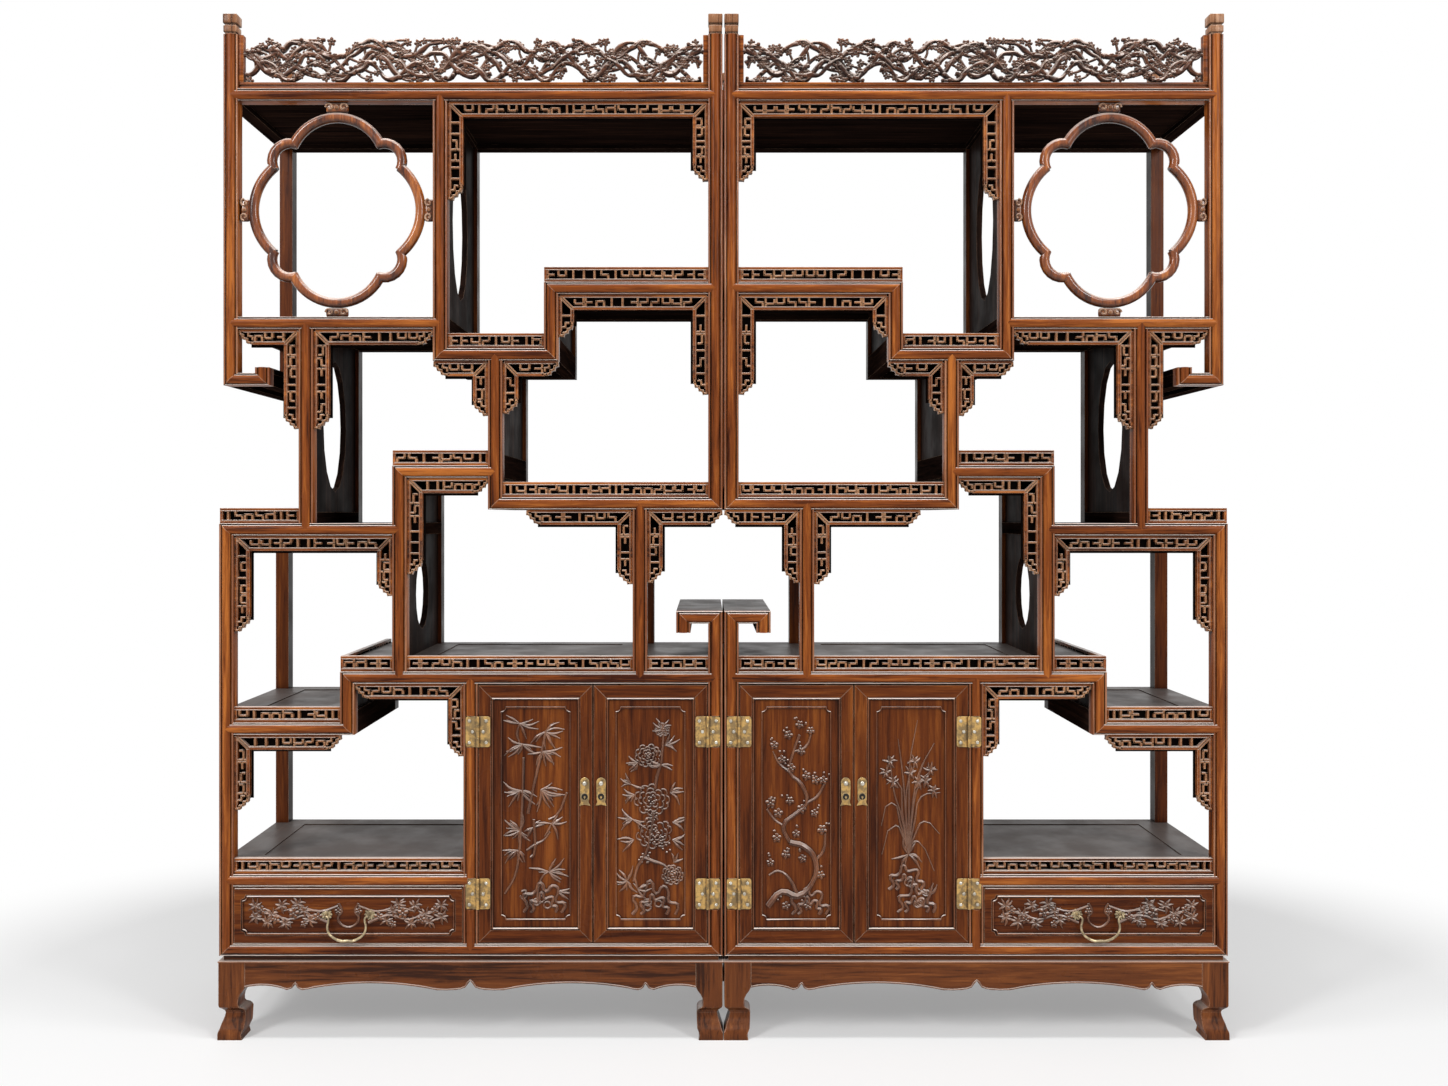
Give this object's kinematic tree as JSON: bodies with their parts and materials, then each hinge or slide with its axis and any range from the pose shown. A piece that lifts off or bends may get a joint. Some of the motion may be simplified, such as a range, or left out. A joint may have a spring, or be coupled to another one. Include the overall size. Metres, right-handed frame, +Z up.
{
  "type": "chinese display cabinet pair",
  "caption": "Mirrored Chinese display cabinets with stepped open shelves, pierced frets, lobed window rings, cupboard doors and drawers on scalloped stands.",
  "frame": {"origin": "on the floor, at the middle of the overall box's width and depth, midway between the two cabinets", "axes": "+Z up, +X to the right as seen from the front, -Y towards the front, where the doors and drawers open"},
  "size_m": [1.9718, 0.3536, 2],
  "materials": {
    "rosewood": "satin-gloss lacquer over streaked reddish-brown rosewood",
    "fret_wood": "satin lacquer, worn lighter along the cut edges",
    "carved_wood": "carved in low relief, satin lacquer",
    "inner_wood": "dark brown, soft sheen",
    "stand_wood": "satin lacquer, worn at the feet",
    "brass": "pale brass, tarnished and worn"
  },
  "bodies": {
    "cabinets": {"right_stand_legs": "stand_wood", "right_stand_aprons": "stand_wood", "right_stand_waist": "stand_wood", "right_front_posts": "rosewood", "right_back_posts": "inner_wood", "right_front_rails": "rosewood", "right_back_rails": "inner_wood", "right_side_rails": "inner_wood", "right_walls": "inner_wood", "right_shelf_boards": "inner_wood", "right_shelf_friezes": "fret_wood", "right_fret_aprons": "fret_wood", "right_ring_window": "rosewood", "right_crest": "fret_wood", "right_finials": "rosewood", "right_case_panels": "inner_wood", "right_hinge_post_leaves": "brass", "left_stand_legs": "stand_wood", "left_stand_aprons": "stand_wood", "left_stand_waist": "stand_wood", "left_front_posts": "rosewood", "left_back_posts": "inner_wood", "left_front_rails": "rosewood", "left_back_rails": "inner_wood", "left_side_rails": "inner_wood", "left_walls": "inner_wood", "left_shelf_boards": "inner_wood", "left_shelf_friezes": "fret_wood", "left_fret_aprons": "fret_wood", "left_ring_window": "rosewood", "left_crest": "fret_wood", "left_finials": "rosewood", "left_case_panels": "inner_wood", "left_hinge_post_leaves": "brass"},
    "right_inner_door": {"right_inner_door_frame": "rosewood", "right_inner_door_panel": "carved_wood", "right_inner_door_hinges": "brass", "right_inner_door_lock": "brass"},
    "right_outer_door": {"right_outer_door_frame": "rosewood", "right_outer_door_panel": "carved_wood", "right_outer_door_hinges": "brass", "right_outer_door_lock": "brass"},
    "right_drawer": {"right_drawer_front": "carved_wood", "right_drawer_box": "inner_wood", "right_pull_mounts": "brass"},
    "right_bail": {"right_bail": "brass"},
    "left_inner_door": {"left_inner_door_frame": "rosewood", "left_inner_door_panel": "carved_wood", "left_inner_door_hinges": "brass", "left_inner_door_lock": "brass"},
    "left_outer_door": {"left_outer_door_frame": "rosewood", "left_outer_door_panel": "carved_wood", "left_outer_door_hinges": "brass", "left_outer_door_lock": "brass"},
    "left_drawer": {"left_drawer_front": "carved_wood", "left_drawer_box": "inner_wood", "left_pull_mounts": "brass"},
    "left_bail": {"left_bail": "brass"}
  },
  "joints": [
    {"name": "right_inner_door_hinge", "type": "hinge", "parent": "cabinets", "child": "right_inner_door", "pos_m": [0.0305, -0.16425, 0.442], "axis": [0, 0, -1], "range_deg": [0, 95]},
    {"name": "right_outer_door_hinge", "type": "hinge", "parent": "cabinets", "child": "right_outer_door", "pos_m": [0.47875, -0.16425, 0.442], "axis": [0, 0, 1], "range_deg": [0, 95]},
    {"name": "right_drawer_slide", "type": "slide", "parent": "cabinets", "child": "right_drawer", "axis": [0, -1, 0], "range_m": [0, 0.22]},
    {"name": "right_bail_hinge", "type": "hinge", "parent": "right_drawer", "child": "right_bail", "pos_m": [0.73195, -0.17175, 0.243], "axis": [-1, 0, 0], "range_deg": [0, 90]},
    {"name": "left_inner_door_hinge", "type": "hinge", "parent": "cabinets", "child": "left_inner_door", "pos_m": [-0.0305, -0.16425, 0.442], "axis": [0, 0, 1], "range_deg": [0, 95]},
    {"name": "left_outer_door_hinge", "type": "hinge", "parent": "cabinets", "child": "left_outer_door", "pos_m": [-0.47875, -0.16425, 0.442], "axis": [0, 0, -1], "range_deg": [0, 95]},
    {"name": "left_drawer_slide", "type": "slide", "parent": "cabinets", "child": "left_drawer", "axis": [0, -1, 0], "range_m": [0, 0.22]},
    {"name": "left_bail_hinge", "type": "hinge", "parent": "left_drawer", "child": "left_bail", "pos_m": [-0.73195, -0.17175, 0.243], "axis": [-1, 0, 0], "range_deg": [0, 90]}
  ]
}
